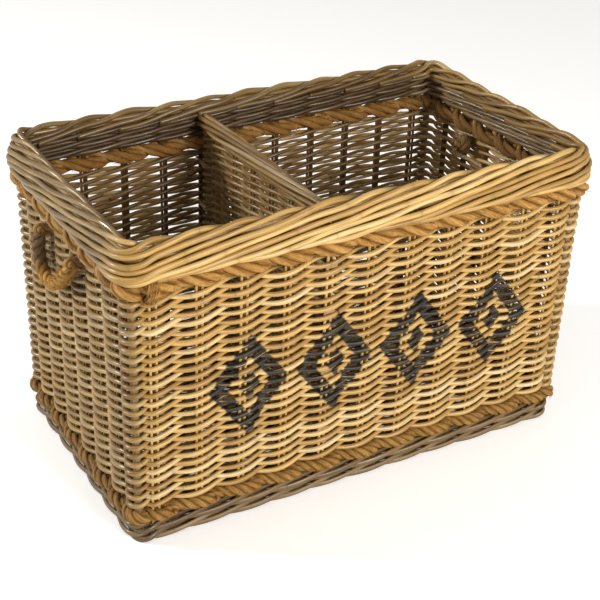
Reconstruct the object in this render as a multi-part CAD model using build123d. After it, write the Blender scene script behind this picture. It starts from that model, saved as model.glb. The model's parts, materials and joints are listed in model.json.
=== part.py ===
from build123d import *
import os
from math import cos, pi

# Wicker log basket with twined walls, rope bands, a kindling divider and two rope handles.
# Millimetres. +Z is up, +X runs along the length, the front wall faces -Y.
# The origin is on the floor, at the centre of the footprint.

# ---- driving dimensions -------------------------------------------------------------------
HEIGHT = 432.0
STAKE_LINE_X = 326.0        # half length between the middles of the end walls, at the floor
STAKE_LINE_Y = 178.0        # half depth between the middles of the long walls, at the floor
LEAN = 4.5 / HEIGHT         # the walls open outwards by this much per millimetre of height
CORNER_RADIUS = 16.0        # on the stake line
WALL = 16.0                 # a stake with one weaver on each side of it

STAKE = 4.4                 # the uprights are thin sticks, two to a station
PAIR_SPREAD = 7.6           # between the two sticks of a pair
STAKE_BOTTOM = 2.0
LONG_PITCH = 60.0
LONG_STATIONS = 11
END_PITCH = 52.0
END_STATIONS = 6
CORNER_POST = 10.0

FOOT_TOP = 28.0
FOOT_ROUNDING = 5.0
BOTTOM_ROPE_Z = 39.5
BOTTOM_ROPE_HEIGHT = 20.0
BOTTOM_ROPE_WIDTH = 30.0    # the rope is twined too, one cord on each side of the stakes
WEAVE_BOTTOM = 50.0
WEAVE_TOP = 355.5
TOP_ROPE_Z = 367.0
TOP_ROPE_HEIGHT = 22.0
TOP_ROPE_WIDTH = 35.0
ROPE_ROUNDING = 9.0

RIM_WEAVE_BOTTOM = 379.0
RIM_WEAVE_TOP = 412.5
CORE_ROD = 8.0
CORE_ROD_OFFSET = 3.5
LIP_BOTTOM = 380.0
LIP_FLARE = 20.0            # how far the border's lower lip stands out from the stake line
CREST_OFFSET = 8.0

BASE_Z = 20.0
RAIL = 12.0
RAIL_INSET = 14.5           # the frame rails run along the inside of the foot band
RAIL_END_INSET = 14.4
BASE_STICK = 6.0
BASE_STICK_SPREAD = 6.2
BASE_STICK_PITCH = 58.0
PIN = 2.0
POST_PIN_LENGTH = 24.0
RAIL_PIN_LENGTH = 30.0
PIN_RISE = 2.5              # the two pins of a corner pass above and below each other

DIVIDER_X = -60.0
DIVIDER_WALL = 13.0
DIVIDER_TOP = 396.0
DIVIDER_POST = 7.0
DIVIDER_POST_INSET = 14.5   # the end posts stand clear of the rope bands
TOP_ROD = 10.0
TOP_ROD_Z = 402.0
DIVIDER_BORDER_WIDTH = 24.0
DIVIDER_BORDER_BOTTOM = 388.0
DIVIDER_BORDER_TOP = 412.0
LASHING_PEEL = 1.2          # the lashings are flat ribbons of peel
LASHING_HEIGHT = 6.0
LASHING_WIDTH = 16.0
LASHING_HEIGHTS = (95.0, 185.0, 275.0, 340.0)

HANDLE_ROPE = 17.0
HANDLE_Z = 344.0            # height of the hinge line, just under the top rope
HANDLE_ENDS = (-48.0, 58.0)  # each between two pairs of stakes
HANDLE_SAG = ((-36.0, -17.0), (-8.0, -43.0), (22.0, -59.0), (45.0, -60.0), (61.0, -44.0), (63.0, -20.0))
HANDLE_GAP = 4.0            # between the rope and the wall behind it
KNOT = 28.0

CHANNEL_CLEARANCE = 0.1     # round a stick where it passes through the weave
GAP = 0.3                   # between pieces that lie side by side


# ---- shared shapes ------------------------------------------------------------------------
def stake_line(z):
    """Half length and half depth of the line through the stakes at height z."""
    return STAKE_LINE_X + LEAN * z, STAKE_LINE_Y + LEAN * z


def outline(z, offset):
    """Rounded rectangle at height z, offset outwards from the stake line."""
    x, y = stake_line(z)
    return Pos(0, 0, z) * RectangleRounded(2 * (x + offset), 2 * (y + offset), CORNER_RADIUS + offset)


def wall_band(bottom, top):
    """The full ring of wall between two heights, leaning outwards."""
    outside = loft([outline(bottom, WALL / 2), outline(top, WALL / 2)], ruled=True)
    inside = loft([outline(bottom, -WALL / 2), outline(top, -WALL / 2)], ruled=True)
    return outside - inside


def hoop(section, z, offset):
    """A cross-section swept round the basket: its X points outwards and its Y points up."""
    path = outline(z, offset).wire()
    start = Plane(origin=path @ 0, x_dir=(-1, 0, 0), z_dir=(0, 1, 0))
    return sweep(start * section, path=path)


def rod(start, end, diameter):
    """Round stick between two points."""
    along = Vector(*end) - Vector(*start)
    return extrude(Plane(origin=start, z_dir=along) * Circle(diameter / 2), amount=along.length)


def centred(count, pitch):
    """Evenly spaced places along a wall, centred on its middle."""
    return [(index - (count - 1) / 2) * pitch for index in range(count)]


def wall_point(wall, place, z):
    """A point on the stake line of one wall."""
    x, y = stake_line(z)
    return {
        "front": (place, -y, z),
        "back": (place, y, z),
        "left": (-x, place, z),
        "right": (x, place, z),
    }[wall]


def stake_pair(wall, place, diameter=STAKE, bottom=STAKE_BOTTOM, top=RIM_WEAVE_TOP):
    """The two sticks of one station."""
    return [
        rod(wall_point(wall, side, bottom), wall_point(wall, side, top), diameter)
        for side in (place - PAIR_SPREAD / 2, place + PAIR_SPREAD / 2)
    ]


def post_point(side_x, side_y, z):
    """Centre of a corner post, on the rounded corner of the stake line."""
    x, y = stake_line(z)
    inset = CORNER_RADIUS * (1 - cos(pi / 4))
    return side_x * (x - inset), side_y * (y - inset), z


def post(side_x, side_y, diameter):
    start = post_point(side_x, side_y, STAKE_BOTTOM)
    return rod(start, post_point(side_x, side_y, RIM_WEAVE_TOP), diameter)


WALLS = {
    "front": centred(LONG_STATIONS, LONG_PITCH),
    "back": centred(LONG_STATIONS, LONG_PITCH),
    "left": centred(END_STATIONS, END_PITCH),
    "right": centred(END_STATIONS, END_PITCH),
}
CORNERS = {
    "front_left": (-1, -1),
    "front_right": (1, -1),
    "back_left": (-1, 1),
    "back_right": (1, 1),
}


def upright_channels():
    """Holes for every stake and every post, for the weave to be threaded on."""
    wide = STAKE + 2 * CHANNEL_CLEARANCE
    stakes = [
        hole
        for wall, places in WALLS.items()
        for place in places
        for hole in stake_pair(wall, place, wide, 0, HEIGHT)
    ]
    return stakes + post_channels()


def post_channels():
    return [post(sx, sy, CORNER_POST + 2 * CHANNEL_CLEARANCE) for sx, sy in CORNERS.values()]


# ---- base ---------------------------------------------------------------------------------
def base_rails():
    """Four rails round the floor. The end rails butt between the long rails."""
    x, y = stake_line(BASE_Z)
    rail_x, rail_y = x - RAIL_INSET, y - RAIL_INSET
    reach_x = x - RAIL_END_INSET
    reach_y = rail_y - RAIL / 2 - GAP
    return {
        "base_rail_front": rod((-reach_x, -rail_y, BASE_Z), (reach_x, -rail_y, BASE_Z), RAIL),
        "base_rail_back": rod((-reach_x, rail_y, BASE_Z), (reach_x, rail_y, BASE_Z), RAIL),
        "base_rail_left": rod((-rail_x, -reach_y, BASE_Z), (-rail_x, reach_y, BASE_Z), RAIL),
        "base_rail_right": rod((rail_x, -reach_y, BASE_Z), (rail_x, reach_y, BASE_Z), RAIL),
    }


def frame_pins(diameter):
    """Two pins at each corner: post to long rail, and long rail to end rail."""
    x, y = stake_line(BASE_Z)
    rail_x, rail_y = x - RAIL_INSET, y - RAIL_INSET
    pins = []
    for side_x, side_y in CORNERS.values():
        post_x, post_y, _ = post_point(side_x, side_y, BASE_Z)
        high = BASE_Z + PIN_RISE
        step = POST_PIN_LENGTH * cos(pi / 4)
        head = CORNER_POST / 2 * cos(pi / 4)
        outer = (post_x + side_x * head, post_y + side_y * head, high)
        inner = (outer[0] - side_x * step, outer[1] - side_y * step, high)
        pins.append(rod(outer, inner, diameter))
        low = BASE_Z - PIN_RISE
        pin_x = side_x * (rail_x - PIN)
        edge_y = rail_y + RAIL / 2 - PIN / 2
        tip_y = side_y * (edge_y - RAIL_PIN_LENGTH)
        pins.append(rod((pin_x, side_y * edge_y, low), (pin_x, tip_y, low), diameter))
    return pins


def base_stick_places():
    """The x of each pair of floor sticks, and how far they reach to the long rails."""
    reach = stake_line(BASE_Z)[1] - RAIL_INSET - RAIL / 2 - GAP
    return centred(LONG_STATIONS, BASE_STICK_PITCH), reach


def base_sticks():
    places, reach = base_stick_places()
    return [
        rod((place + side, -reach, BASE_Z), (place + side, reach, BASE_Z), BASE_STICK)
        for place in places
        for side in (-BASE_STICK_SPREAD / 2, BASE_STICK_SPREAD / 2)
    ]


def base_weave():
    """Floor mat between the rails, with one slot for each pair of floor sticks."""
    x, y = stake_line(BASE_Z)
    inside = RAIL_INSET + RAIL / 2 + GAP
    mat = Pos(0, 0, BASE_Z) * Box(2 * (x - inside), 2 * (y - inside), RAIL)
    places, reach = base_stick_places()
    width = BASE_STICK + 2 * CHANNEL_CLEARANCE
    across = Plane(origin=(0, -reach - GAP, BASE_Z), x_dir=(1, 0, 0), z_dir=(0, 1, 0))
    for place in places:
        slot = across * Pos(place, 0) * SlotOverall(BASE_STICK_SPREAD + width, width)
        mat -= extrude(slot, amount=2 * (reach + GAP))
    return mat - frame_pins(PIN + 2 * CHANNEL_CLEARANCE)


def foot_band():
    """Twined band under the walls. The basket stands on its flat underside."""
    section = Pos(0, FOOT_TOP / 2) * RectangleRounded(WALL, FOOT_TOP, FOOT_ROUNDING)
    flat = Pos(0, FOOT_ROUNDING / 2) * Rectangle(WALL, FOOT_ROUNDING)
    return hoop(section + flat, 0, 0)


# ---- walls --------------------------------------------------------------------------------
def rope_band(z, width, height):
    """Two thick cords twined round the stakes, as one band with rounded edges."""
    return hoop(RectangleRounded(width, height, ROPE_ROUNDING), z, 0)


def wall_weave():
    """Four flat panels of weave and the four wraps that carry it round the corner posts."""
    band = wall_band(WEAVE_BOTTOM, WEAVE_TOP)
    x, y = stake_line(0)
    flat_x, flat_y = x - CORNER_RADIUS, y - CORNER_RADIUS
    beyond = 2 * CORNER_RADIUS + WALL
    long_cut = Box(2 * flat_x, beyond, 2 * HEIGHT)
    end_cut = Box(beyond, 2 * flat_y, 2 * HEIGHT)
    corner_cut = Box(beyond, beyond, 2 * HEIGHT)
    corners = [
        band & Pos(sx * (flat_x + beyond / 2), sy * (flat_y + beyond / 2)) * corner_cut
        for sx, sy in CORNERS.values()
    ]
    return {
        "front": band & Pos(0, -y) * long_cut,
        "back": band & Pos(0, y) * long_cut,
        "left": band & Pos(-x, 0) * end_cut,
        "right": band & Pos(x, 0) * end_cut,
        "corners": corners,
    }


# ---- rim ----------------------------------------------------------------------------------
def core_rod():
    """Bent rod that lies on the stake ends and stiffens the rim."""
    rod_z = RIM_WEAVE_TOP + CORE_ROD / 2 + GAP
    return hoop(Circle(CORE_ROD / 2), rod_z, CORE_ROD_OFFSET)


def border():
    """Rolled border: over the core rod, then down and outwards to a lip above the rope."""
    inner_top = RIM_WEAVE_TOP + CORE_ROD + 3 * GAP
    inner_side = WALL / 2 + GAP
    profile = Polygon(
        (inner_side, LIP_BOTTOM),
        (LIP_FLARE - 3, LIP_BOTTOM),
        (LIP_FLARE, LIP_BOTTOM + 5),
        (CREST_OFFSET + 6, HEIGHT - 5),
        (CREST_OFFSET, HEIGHT),
        (0, HEIGHT - 1),
        (-WALL / 2, inner_top + 2),
        (-WALL / 2, inner_top),
        (inner_side, inner_top),
        align=None,
    )
    return hoop(Pos(0, -RIM_WEAVE_TOP) * profile, RIM_WEAVE_TOP, 0)


# ---- divider ------------------------------------------------------------------------------
def divider_reach(z):
    """Half width of the space between the long walls at height z."""
    return stake_line(z)[1] - WALL / 2 - GAP


def divider_posts(diameter):
    bottom = BASE_Z + RAIL / 2 + GAP
    posts = []
    for side in (-1, 1):
        low = side * (divider_reach(bottom) - DIVIDER_POST_INSET)
        high = side * (divider_reach(DIVIDER_TOP) - DIVIDER_POST_INSET)
        posts.append(rod((DIVIDER_X, low, bottom), (DIVIDER_X, high, DIVIDER_TOP), diameter))
    return posts


def divider_stakes(diameter):
    bottom = BASE_Z + RAIL / 2 + GAP
    return [
        rod((DIVIDER_X, place + side, bottom), (DIVIDER_X, place + side, DIVIDER_TOP), diameter)
        for place in WALLS["left"]
        for side in (-PAIR_SPREAD / 2, PAIR_SPREAD / 2)
    ]


def divider_lashings(clearance=0.0):
    """Ribbons of peel that tie the divider's end posts to the wall stakes beside them."""
    loops = []
    for z in LASHING_HEIGHTS:
        near = divider_reach(z) - DIVIDER_POST_INSET - DIVIDER_POST / 2 - 2 * GAP
        far = stake_line(z)[1] + STAKE / 2 + 3 * GAP
        length, width = far - near, LASHING_WIDTH - 2 * LASHING_PEEL
        grown = 2 * (LASHING_PEEL + clearance)
        ring = Rectangle(width + grown, length + grown)
        ring -= Rectangle(width - 2 * clearance, length - 2 * clearance)
        for side in (-1, 1):
            place = Pos(DIVIDER_X, side * (near + far) / 2, z - LASHING_HEIGHT / 2 - clearance)
            loops.append(extrude(place * ring, amount=LASHING_HEIGHT + 2 * clearance))
    return loops


def divider_weave():
    """Woven panel across the basket, standing on the floor and clear of both rope bands."""
    levels = [
        Pos(DIVIDER_X, 0, z) * Rectangle(DIVIDER_WALL, 2 * divider_reach(z))
        for z in (BASE_Z + RAIL / 2 + GAP, DIVIDER_TOP)
    ]
    return loft(levels, ruled=True)


def divider_border():
    """Bundle of strands bound over the top rod, straddling the top of the panel."""
    height = DIVIDER_BORDER_TOP - DIVIDER_BORDER_BOTTOM
    middle = (DIVIDER_BORDER_TOP + DIVIDER_BORDER_BOTTOM) / 2
    section = Pos(0, middle) * RectangleRounded(DIVIDER_BORDER_WIDTH, height, FOOT_ROUNDING)
    slot_height = TOP_ROD_Z - DIVIDER_BORDER_BOTTOM
    slot = Pos(0, TOP_ROD_Z - slot_height / 2) * Rectangle(DIVIDER_WALL + GAP, slot_height)
    seat = Pos(0, TOP_ROD_Z) * Circle(DIVIDER_WALL / 2)
    reach = divider_reach(DIVIDER_BORDER_BOTTOM)
    across = Plane(origin=(DIVIDER_X, reach, 0), x_dir=(1, 0, 0), z_dir=(0, -1, 0))
    return extrude(across * (section - slot - seat), amount=2 * reach)


# ---- handles ------------------------------------------------------------------------------
def hinge_x():
    """Distance of the handles' hinge lines from the middle of the basket."""
    return stake_line(HANDLE_Z)[0] + WALL / 2 + HANDLE_GAP + HANDLE_ROPE / 2


def handle(side):
    """Rope loop that hangs from two rounded ends on the hinge line, lower towards the back."""
    front, back = HANDLE_ENDS
    hang = Plane(origin=(side * hinge_x(), 0, HANDLE_Z), x_dir=(0, 1, 0), z_dir=(1, 0, 0))
    path = hang * Spline((front, 0), *HANDLE_SAG, (back, 0), tangents=[(0, -1), (0, 1)]).edge()
    loop = sweep(Plane(origin=path @ 0, z_dir=path % 0) * Circle(HANDLE_ROPE / 2), path=path)
    for end in HANDLE_ENDS:
        loop += Pos(side * hinge_x(), end, HANDLE_Z) * Sphere(HANDLE_ROPE / 2)
    return loop


def rope_tails(side, diameter):
    """The straight tails of a handle's rope where they pass through the end wall."""
    x = stake_line(HANDLE_Z)[0]
    inner, outer = side * (x - WALL / 2 - KNOT / 2), side * (x + WALL / 2 + HANDLE_GAP - GAP)
    return [rod((inner, end, HANDLE_Z), (outer, end, HANDLE_Z), diameter) for end in HANDLE_ENDS]


def handle_knots(side):
    """Rope tails with a stopper knot on the inside of the wall."""
    x = stake_line(HANDLE_Z)[0] - WALL / 2 - KNOT / 2 - GAP - LEAN * KNOT
    knots = [
        tail + Pos(-x, end, HANDLE_Z) * Sphere(KNOT / 2)
        for tail, end in zip(rope_tails(-1, HANDLE_ROPE), HANDLE_ENDS)
    ]
    return knots if side < 0 else [mirror(knot, about=Plane.YZ) for knot in knots]


# ---- assembly -----------------------------------------------------------------------------
def basket():
    """Every node of the basket by name. A list is a group of separate solids."""
    wide = 2 * CHANNEL_CLEARANCE
    channels = upright_channels()
    pins = frame_pins(PIN)
    pin_holes = frame_pins(PIN + wide)

    nodes = {name: rail - pin_holes for name, rail in base_rails().items()}
    nodes["frame_pins"] = pins
    nodes["base_cross_sticks"] = base_sticks()
    nodes["base_weave"] = base_weave()
    nodes["foot_band"] = foot_band() - channels - pin_holes
    for name, (side_x, side_y) in CORNERS.items():
        nodes["corner_post_" + name] = post(side_x, side_y, CORNER_POST) - pin_holes
    for wall, places in WALLS.items():
        nodes["stakes_" + wall] = [stick for place in places for stick in stake_pair(wall, place)]

    nodes["bottom_rope"] = rope_band(BOTTOM_ROPE_Z, BOTTOM_ROPE_WIDTH, BOTTOM_ROPE_HEIGHT) - channels
    nodes["top_rope"] = rope_band(TOP_ROPE_Z, TOP_ROPE_WIDTH, TOP_ROPE_HEIGHT) - channels
    weave = wall_weave()
    lashing_slots = divider_lashings(CHANNEL_CLEARANCE)
    nodes["weave_front"] = weave["front"] - channels - lashing_slots
    nodes["weave_back"] = weave["back"] - channels - lashing_slots
    nodes["weave_left"] = weave["left"] - channels - rope_tails(-1, HANDLE_ROPE + wide)
    nodes["weave_right"] = weave["right"] - channels - rope_tails(1, HANDLE_ROPE + wide)
    nodes["weave_corners"] = [corner - post_channels() for corner in weave["corners"]]
    nodes["rim_weave"] = wall_band(RIM_WEAVE_BOTTOM, RIM_WEAVE_TOP) - channels
    nodes["rim_core_rod"] = core_rod()
    nodes["border"] = border()

    rope_notches = [
        rope_band(TOP_ROPE_Z, TOP_ROPE_WIDTH + wide, TOP_ROPE_HEIGHT + wide),
        rope_band(BOTTOM_ROPE_Z, BOTTOM_ROPE_WIDTH + wide, BOTTOM_ROPE_HEIGHT + wide),
    ]
    uprights = divider_posts(DIVIDER_POST + wide) + divider_stakes(STAKE + wide)
    nodes["divider_weave"] = divider_weave() - uprights - lashing_slots - rope_notches
    nodes["divider_stakes"] = divider_stakes(STAKE)
    nodes["divider_end_posts"] = divider_posts(DIVIDER_POST)
    top_reach = divider_reach(TOP_ROD_Z) - GAP
    rod_ends = [(DIVIDER_X, side * top_reach, TOP_ROD_Z) for side in (-1, 1)]
    nodes["divider_top_rod"] = rod(*rod_ends, TOP_ROD)
    nodes["divider_border"] = divider_border()
    nodes["divider_lashings"] = divider_lashings()

    for side, name in ((-1, "left"), (1, "right")):
        nodes["handle_" + name] = handle(side)
        nodes["handle_knots_" + name] = handle_knots(side)
    return nodes


os.makedirs("parts", exist_ok=True)
for node_name, solid in basket().items():
    shape = Compound(children=solid) if isinstance(solid, list) else solid
    export_step(shape, f"parts/{node_name}.step")
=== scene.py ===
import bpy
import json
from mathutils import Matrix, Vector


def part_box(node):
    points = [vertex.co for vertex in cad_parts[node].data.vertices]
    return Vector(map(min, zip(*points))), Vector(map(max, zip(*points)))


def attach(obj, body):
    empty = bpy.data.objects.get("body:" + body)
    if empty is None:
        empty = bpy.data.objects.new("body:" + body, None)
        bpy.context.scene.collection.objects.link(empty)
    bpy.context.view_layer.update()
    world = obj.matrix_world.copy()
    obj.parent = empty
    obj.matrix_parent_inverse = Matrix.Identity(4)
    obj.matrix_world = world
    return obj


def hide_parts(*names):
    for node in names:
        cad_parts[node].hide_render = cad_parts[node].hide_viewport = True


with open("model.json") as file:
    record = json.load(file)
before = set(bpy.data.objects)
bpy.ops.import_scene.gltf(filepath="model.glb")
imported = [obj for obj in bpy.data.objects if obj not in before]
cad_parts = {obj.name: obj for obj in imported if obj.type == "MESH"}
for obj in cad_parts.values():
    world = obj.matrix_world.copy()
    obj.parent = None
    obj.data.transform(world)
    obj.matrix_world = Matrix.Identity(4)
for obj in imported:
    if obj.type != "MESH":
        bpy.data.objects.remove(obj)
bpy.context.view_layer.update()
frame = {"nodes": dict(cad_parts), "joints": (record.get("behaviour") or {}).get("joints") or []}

import json
import math

import bpy
import numpy as np
from mathutils import Matrix

# Wicker log basket. Every strand is a tube of its own, laid over the places the CAD frame gives.
# Lengths in this file are millimetres in the frame's axes, and become metres in Piece.build().
MM = 0.001


def cad_box(node):
    low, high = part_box(node)
    return np.array(low) / MM, np.array(high) / MM


def middle(node):
    low, high = cad_box(node)
    return (low + high) / 2


# ---- places taken from the frame ----------------------------------------------------------
WALL_HALF = 8.0             # the CAD wall is a band 16 mm thick round the stake line
CORNER_RADIUS = 16.0
FOOT_HIGH = cad_box("foot_band")[1]
RIM_HIGH = cad_box("rim_weave")[1]
STAKE_X = FOOT_HIGH[0] - WALL_HALF
STAKE_Y = FOOT_HIGH[1] - WALL_HALF
LEAN = (RIM_HIGH[0] - FOOT_HIGH[0]) / RIM_HIGH[2]
WEAVE_LOW, WEAVE_HIGH = cad_box("weave_front")[0][2], cad_box("weave_front")[1][2]
TOP_ROPE_Z = middle("top_rope")[2]
BOTTOM_ROPE_Z = middle("bottom_rope")[2]
STAKE_LOW, STAKE_HIGH = cad_box("stakes_front")[0][2], cad_box("stakes_front")[1][2]
DIVIDER_X = middle("divider_weave")[0]
DIVIDER_LOW = cad_box("divider_weave")[0][2]
TOP_ROD_Z = middle("divider_top_rod")[2]
FLOOR_Z = middle("base_cross_sticks")[2]

LONG_PLACES = 60.0 * np.arange(-5, 6)      # stake pairs along the front and the back
END_PLACES = 52.0 * (np.arange(6) - 2.5)   # stake pairs along the ends
PAIR_HALF = 3.8             # from the middle of a pair of stakes to each stick
STAKE_RADIUS = 2.1
STRAND = 2.80               # radius of a weaver where two of them cross
X_AXIS, Z_AXIS = (1.0, 0.0, 0.0), (0.0, 0.0, 1.0)


# ---- a coordinate that runs round the basket ----------------------------------------------
# One unit from each stake pair or corner post to the next, anticlockwise seen from above, with 0
# at the first pair of the front wall. It has 38 stations: 11 and a corner, 6 and a corner, twice.
def ring_table(step=0.5):
    """Points, outward normals and lean of the rounded rectangle, against length along it."""
    flat_x, flat_y = STAKE_X - CORNER_RADIUS, STAKE_Y - CORNER_RADIUS
    arc = CORNER_RADIUS * math.pi / 2
    sides = [
        ((-flat_x, -STAKE_Y), (1, 0), 2 * flat_x, (flat_x, -flat_y), -math.pi / 2),
        ((STAKE_X, -flat_y), (0, 1), 2 * flat_y, (flat_x, flat_y), 0.0),
        ((flat_x, STAKE_Y), (-1, 0), 2 * flat_x, (-flat_x, flat_y), math.pi / 2),
        ((-STAKE_X, flat_y), (0, -1), 2 * flat_y, (-flat_x, -flat_y), math.pi),
    ]
    rows, stations, length = [], [], 0.0
    for start, along, run, centre, turn in sides:
        for travelled in np.arange(0, run, step):
            x, y = start[0] + along[0] * travelled, start[1] + along[1] * travelled
            normal = (along[1], -along[0])
            reach = LONG_PLACES[-1] if along[0] else END_PLACES[-1]
            flat = flat_x if along[0] else flat_y
            place = x if along[0] else y
            side = np.sign(place) * np.clip((abs(place) - reach) / (flat - reach), 0, 1)
            lean = (normal[0] + abs(along[0]) * side, normal[1] + abs(along[1]) * side)
            rows.append((length + travelled, x, y, *normal, *lean))
        places = LONG_PLACES if along[0] else END_PLACES
        stations += [length + run / 2 + place for place in places]
        stations.append(length + run + arc / 2)
        for travelled in np.arange(0, arc, step):
            angle = turn + travelled / CORNER_RADIUS
            normal = (math.cos(angle), math.sin(angle))
            x, y = centre[0] + CORNER_RADIUS * normal[0], centre[1] + CORNER_RADIUS * normal[1]
            lean = (np.sign(centre[0]), np.sign(centre[1]))
            rows.append((length + run + travelled, x, y, *normal, *lean))
        length += run + arc
    return np.array(rows), np.array(stations), length


RING, STATIONS, AROUND = ring_table()
COUNT = len(STATIONS)
CORNERS = (11, 18, 30, 37)


def distance_round(u):
    """Length along the ring at station coordinate u, which may run past a full turn."""
    turns = np.floor(u / COUNT)
    stops = np.append(STATIONS, AROUND + STATIONS[0])
    return turns * AROUND + np.interp(u - turns * COUNT, np.arange(COUNT + 1), stops)


def ring_at(s):
    """Point, outward normal and lean of the ring at a length along it, as six arrays."""
    s = np.mod(s, AROUND)
    return [np.interp(s, RING[:, 0], RING[:, column], period=AROUND) for column in range(1, 7)]


def on_ring(u, offset, z):
    """Points at an outward offset from the stake line, with the outward direction there."""
    x, y, nx, ny, lx, ly = ring_at(distance_round(u))
    size = np.hypot(nx, ny)
    nx, ny = nx / size, ny / size
    x, y = x + LEAN * z * lx + offset * nx, y + LEAN * z * ly + offset * ny
    return np.stack([x, y, z + 0 * u], -1), np.stack([nx, ny, 0 * nx], -1)


def near_corner(u, width=0.45):
    """1 at a corner post, falling to 0 by the stakes beside it."""
    gap = np.min([np.abs(np.mod(u - c + COUNT / 2, COUNT) - COUNT / 2) for c in CORNERS], axis=0)
    return np.exp(-((gap / width) ** 2))


def fade(value, start, span):
    """0 at start and 1 at start + span, which lies below start when span is negative."""
    return np.clip((value - start) / span, 0, 1)


def circle(count):
    """Angles of the points of one ring of a tube."""
    return np.linspace(0, 2 * math.pi, count, endpoint=False)


def offshoot(rng):
    """A random stream of its own for the unevenness of a strand."""
    return np.random.default_rng(rng.integers(1 << 30))


def own_number(rng):
    """A strand's number: its fraction gives its tone, and the whole of it its patch of grain."""
    return rng.random() + rng.integers(50)


def ripple(rng, u, size, waves=(2, 5, 9, 14)):
    """Smooth unevenness along a strand, of about the given size."""
    total = 0 * u
    for wave in waves:
        total = total + np.sin(2 * math.pi * wave * u / COUNT + rng.uniform(0, 2 * math.pi))
    return total * size / len(waves)


def through(keys, t):
    """Smooth curve through rows of (t, value, value...)."""
    keys = np.array(keys, float)
    knots, values = keys[:, 0], keys[:, 1:]
    slopes = np.gradient(values, knots, axis=0)
    index = np.clip(np.searchsorted(knots, t, side="right") - 1, 0, len(knots) - 2)
    span = knots[index + 1] - knots[index]
    f = np.clip((t - knots[index]) / span, 0, 1)[:, None]
    span = span[:, None]
    a, b = values[index], values[index + 1]
    p, q = slopes[index] * span, slopes[index + 1] * span
    curve = a + f * p + f**2 * (3 * (b - a) - 2 * p - q) + f**3 * (2 * (a - b) + p + q)
    return curve.T


# ---- meshes -------------------------------------------------------------------------------
def unit(v):
    return v / np.maximum(np.linalg.norm(v, axis=-1, keepdims=True), 1e-9)


def carried(points):
    """A side direction for each point of one path, carried along it without twisting."""
    tangent = unit(np.gradient(points, axis=0))
    side = np.cross(tangent[0], (0.3, 0.5, 0.8))
    sides = []
    for direction in tangent:
        side = side - direction * np.dot(side, direction)
        side = side / np.linalg.norm(side)
        sides.append(side)
    return np.array(sides)


class Piece:
    """One named mesh made of closed tubes. A tube keeps its own grain for the materials."""

    def __init__(self, name):
        self.name = name
        self.points, self.grain, self.seed, self.wear, self.inner = [], [], [], [], []
        self.quads, self.caps, self.total = [], [], 0

    def tubes(self, points, radius, side, seed, wear=0.0, inner=0.0, ring=10, flat=1.0):
        """points is (strand, place, 3). flat below 1 thins the tube along its side direction."""
        points = np.asarray(points, float)
        if points.ndim == 2:
            points, side = points[None], np.asarray(side)[None]
        strands, places, _ = points.shape
        radius = np.broadcast_to(np.asarray(radius, float), (strands, places))
        tangent = unit(np.gradient(points, axis=1))
        side = np.broadcast_to(np.asarray(side, float), points.shape)
        side = unit(side - tangent * np.sum(side * tangent, -1, keepdims=True))
        other = np.cross(tangent, side)
        angle = circle(ring)
        across = radius[..., None] * np.cos(angle)
        up = radius[..., None] * np.sin(angle)
        verts = (
            points[:, :, None]
            + (flat * across)[..., None] * side[:, :, None]
            + up[..., None] * other[:, :, None]
        )
        step = np.linalg.norm(np.diff(points, axis=1), axis=-1)
        along = np.concatenate([np.zeros((strands, 1)), np.cumsum(step, 1)], 1)
        along = np.broadcast_to(along[..., None], across.shape)
        self.points.append(verts.reshape(-1, 3))
        self.grain.append(np.stack([along, across, up], -1).reshape(-1, 3))
        shape = (strands, places, ring)
        for store, value in ((self.seed, seed), (self.wear, wear), (self.inner, inner)):
            value = np.asarray(value, float)
            while value.ndim < 3:
                value = value[..., None]
            store.append(np.broadcast_to(value, shape).reshape(-1))
        base = self.total + np.arange(strands)[:, None, None] * places * ring
        row = np.arange(places - 1)[None, :, None] * ring
        a = np.arange(ring)[None, None, :]
        b = np.roll(np.arange(ring), -1)[None, None, :]
        near, far = base + row, base + row + ring
        self.quads.append(np.stack([near + a, near + b, far + b, far + a], -1).reshape(-1, 4))
        for first in self.total + np.arange(strands) * places * ring:
            self.caps.append(first + np.arange(ring)[::-1])
            self.caps.append(first + (places - 1) * ring + np.arange(ring))
        self.total += strands * places * ring

    def build(self, body, slot, material, nodes):
        mesh = bpy.data.meshes.new(self.name)
        verts = np.concatenate(self.points) * MM
        quads = np.concatenate(self.quads)
        mesh.vertices.add(len(verts))
        mesh.vertices.foreach_set("co", verts.astype(np.float32).ravel())
        corners = np.concatenate([quads.ravel()] + self.caps)
        sizes = np.concatenate([np.full(len(quads), 4), [len(cap) for cap in self.caps]]).astype(int)
        starts = np.concatenate([[0], np.cumsum(sizes)[:-1]])
        mesh.loops.add(len(corners))
        mesh.loops.foreach_set("vertex_index", corners.astype(np.int32))
        mesh.polygons.add(len(sizes))
        mesh.polygons.foreach_set("loop_start", starts.astype(np.int32))
        smooth = np.ones(len(sizes), bool)
        smooth[len(quads):] = False
        mesh.polygons.foreach_set("use_smooth", smooth)
        mesh.update(calc_edges=True)
        attribute = mesh.attributes.new("grain", "FLOAT_VECTOR", "POINT")
        grain = np.concatenate(self.grain) * MM
        attribute.data.foreach_set("vector", grain.astype(np.float32).ravel())
        for name in ("seed", "wear", "inner"):
            attribute = mesh.attributes.new(name, "FLOAT", "POINT")
            attribute.data.foreach_set("value", np.concatenate(getattr(self, name)).astype(np.float32))
        mesh.materials.append(material)
        obj = bpy.data.objects.new(self.name, mesh)
        bpy.context.scene.collection.objects.link(obj)
        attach(obj, body)
        if nodes:
            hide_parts(*nodes)
        return obj


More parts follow.
